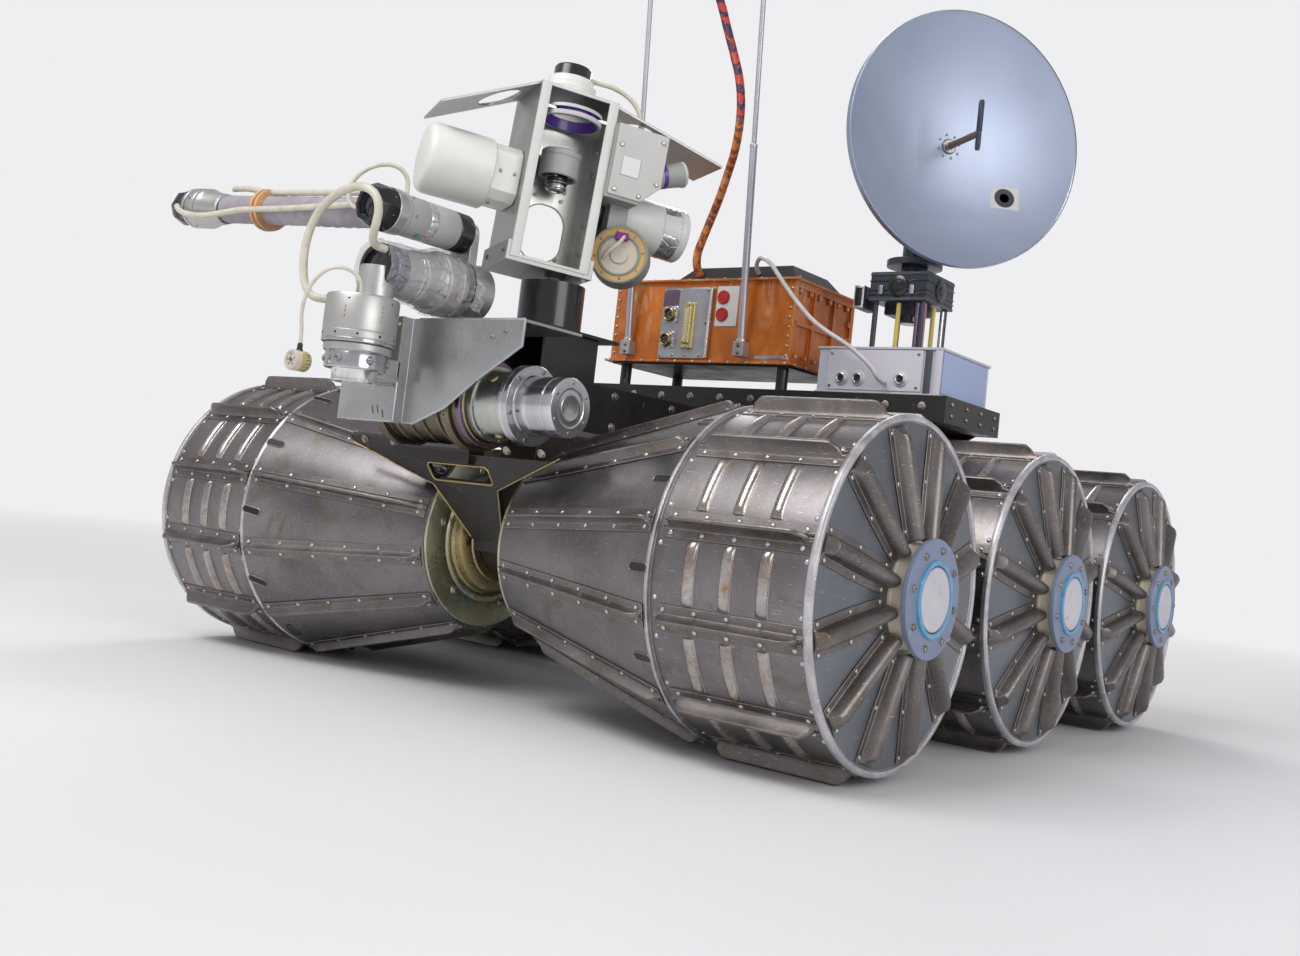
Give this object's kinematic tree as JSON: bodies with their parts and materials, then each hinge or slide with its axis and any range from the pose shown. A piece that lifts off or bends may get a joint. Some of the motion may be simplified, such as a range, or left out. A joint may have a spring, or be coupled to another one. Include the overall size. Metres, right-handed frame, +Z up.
{
  "type": "planetary rover",
  "caption": "Cone-wheeled planetary rover with a low frame, a folding manipulator arm, a turning camera head, an electronics box and a steerable dish.",
  "frame": {"origin": "on the ground, at the middle of the rover's outline seen from above", "axes": "+X forwards, +Y to the rover's left, +Z up"},
  "size_m": [1.2664, 1.06, 1.013],
  "materials": {
    "wheel_sheet": "worn rolled and riveted sheet",
    "wheel_face": "worn pressed sheet with ribs",
    "wheel_hub": "grey plate over a cream band; zinc yellow inside",
    "axle": "dark paint",
    "frame_black": "satin black paint",
    "box_orange": "translucent orange lacquer over metal",
    "lid_black": "satin black paint",
    "panel": "plain sheet with connectors",
    "control_case": "pale grey paint",
    "rods": "bright round bar",
    "dish_metal": "spun and brushed",
    "dish_drive": "black anodised drives and rods",
    "head_metal": "milled open frame",
    "motor_black": "black anodised",
    "camera_white": "white paint",
    "camera_grey": "grey cast case",
    "arm_metal": "machined housings",
    "arm_dark": "dark film wrapping",
    "polished": "polished cap",
    "sleeve": "pale sleeve over the tube",
    "cable_pale": "cream and grey-white cable sheaths",
    "cable_orange": "cable wound with orange-brown tape"
  },
  "bodies": {
    "chassis": {"backbone": "frame_black", "axle_housings": "axle", "deck": "frame_black", "deck_frame": "frame_black", "front_bracket": "frame_black", "electronics_box": "box_orange", "box_lid": "lid_black", "front_panels": "panel", "control_box": "control_case", "mast_rods": "rods", "dish_stand": "dish_drive", "head_stand": "motor_black", "shoulder_housing": "arm_metal", "box_cable": "cable_pale", "mast_cable": "cable_orange"},
    "dish_azimuth": {"dish_turntable": "dish_drive"},
    "dish_elevation": {"dish": "dish_metal"},
    "camera_head": {"head_yoke": "head_metal", "head_frame": "head_metal", "head_optics": "camera_grey", "front_camera": "camera_white", "side_camera": "camera_grey", "rear_camera": "camera_white", "rear_drum": "camera_white", "head_shades": "head_metal", "head_cable": "cable_pale"},
    "arm_shoulder": {"shoulder_motor": "polished", "shoulder_bracket": "arm_metal", "turret_mount": "arm_metal"},
    "arm_turret": {"turret": "arm_metal", "elbow_drive": "arm_dark", "turret_loop": "cable_pale", "plug_cable": "cable_pale", "plug": "arm_metal"},
    "arm_elbow": {"elbow_link": "arm_metal", "forearm_drive": "arm_metal", "forearm_tube": "sleeve", "wrist_collar": "arm_metal", "lens_cable": "cable_pale"},
    "arm_wrist": {"wrist_cap": "motor_black"},
    "wheel_front_left": {"wheel_front_left_shell": "wheel_sheet", "wheel_front_left_face": "wheel_face", "wheel_front_left_hub": "wheel_hub"},
    "wheel_front_right": {"wheel_front_right_shell": "wheel_sheet", "wheel_front_right_face": "wheel_face", "wheel_front_right_hub": "wheel_hub"},
    "wheel_mid_left": {"wheel_mid_left_shell": "wheel_sheet", "wheel_mid_left_face": "wheel_face", "wheel_mid_left_hub": "wheel_hub"},
    "wheel_mid_right": {"wheel_mid_right_shell": "wheel_sheet", "wheel_mid_right_face": "wheel_face", "wheel_mid_right_hub": "wheel_hub"},
    "wheel_rear_left": {"wheel_rear_left_shell": "wheel_sheet", "wheel_rear_left_face": "wheel_face", "wheel_rear_left_hub": "wheel_hub"},
    "wheel_rear_right": {"wheel_rear_right_shell": "wheel_sheet", "wheel_rear_right_face": "wheel_face", "wheel_rear_right_hub": "wheel_hub"}
  },
  "joints": [
    {"name": "dish_turn", "type": "hinge", "parent": "chassis", "child": "dish_azimuth", "pos_m": [-0.04582, 0.285, 0.57999], "axis": [0, 0, 1], "range_deg": [-100, 100]},
    {"name": "dish_tilt", "type": "hinge", "parent": "dish_azimuth", "child": "dish_elevation", "pos_m": [-0.04582, 0.285, 0.74099], "axis": [0.8192, -0.5736, 0], "range_deg": [-10, 20]},
    {"name": "head_pan", "type": "hinge", "parent": "chassis", "child": "camera_head", "pos_m": [0.33318, 0, 0.49699], "axis": [0, 0, 1], "range_deg": [-90, 90]},
    {"name": "shoulder_pitch", "type": "hinge", "parent": "chassis", "child": "arm_shoulder", "pos_m": [0.45818, 0, 0.33499], "axis": [0, 1, 0], "range_deg": [0, 45]},
    {"name": "turret_turn", "type": "hinge", "parent": "arm_shoulder", "child": "arm_turret", "pos_m": [0.58418, -0.04, 0.37799], "axis": [0, 0, 1], "range_deg": [0, 100]},
    {"name": "elbow_roll", "type": "hinge", "parent": "arm_turret", "child": "arm_elbow", "pos_m": [0.45418, -0.04, 0.46599], "axis": [1, 0, 0], "range_deg": [-60, 15]},
    {"name": "wrist_roll", "type": "hinge", "parent": "arm_elbow", "child": "arm_wrist", "pos_m": [0.55018, -0.42805, 0.55712], "axis": [0, -0.9976, 0.0698], "range_deg": [-170, 170]},
    {"name": "roll_front_left", "type": "hinge", "parent": "chassis", "child": "wheel_front_left", "pos_m": [0.32818, 0.0365, 0.18336], "axis": [0, 1, 0], "continuous": true},
    {"name": "roll_front_right", "type": "hinge", "parent": "chassis", "child": "wheel_front_right", "pos_m": [0.32818, -0.0365, 0.18336], "axis": [0, 1, 0], "continuous": true},
    {"name": "roll_mid_left", "type": "hinge", "parent": "chassis", "child": "wheel_mid_left", "pos_m": [-0.05582, 0.0365, 0.18336], "axis": [0, 1, 0], "continuous": true},
    {"name": "roll_mid_right", "type": "hinge", "parent": "chassis", "child": "wheel_mid_right", "pos_m": [-0.05582, -0.0365, 0.18336], "axis": [0, 1, 0], "continuous": true},
    {"name": "roll_rear_left", "type": "hinge", "parent": "chassis", "child": "wheel_rear_left", "pos_m": [-0.43982, 0.0365, 0.18336], "axis": [0, 1, 0], "continuous": true},
    {"name": "roll_rear_right", "type": "hinge", "parent": "chassis", "child": "wheel_rear_right", "pos_m": [-0.43982, -0.0365, 0.18336], "axis": [0, 1, 0], "continuous": true}
  ]
}
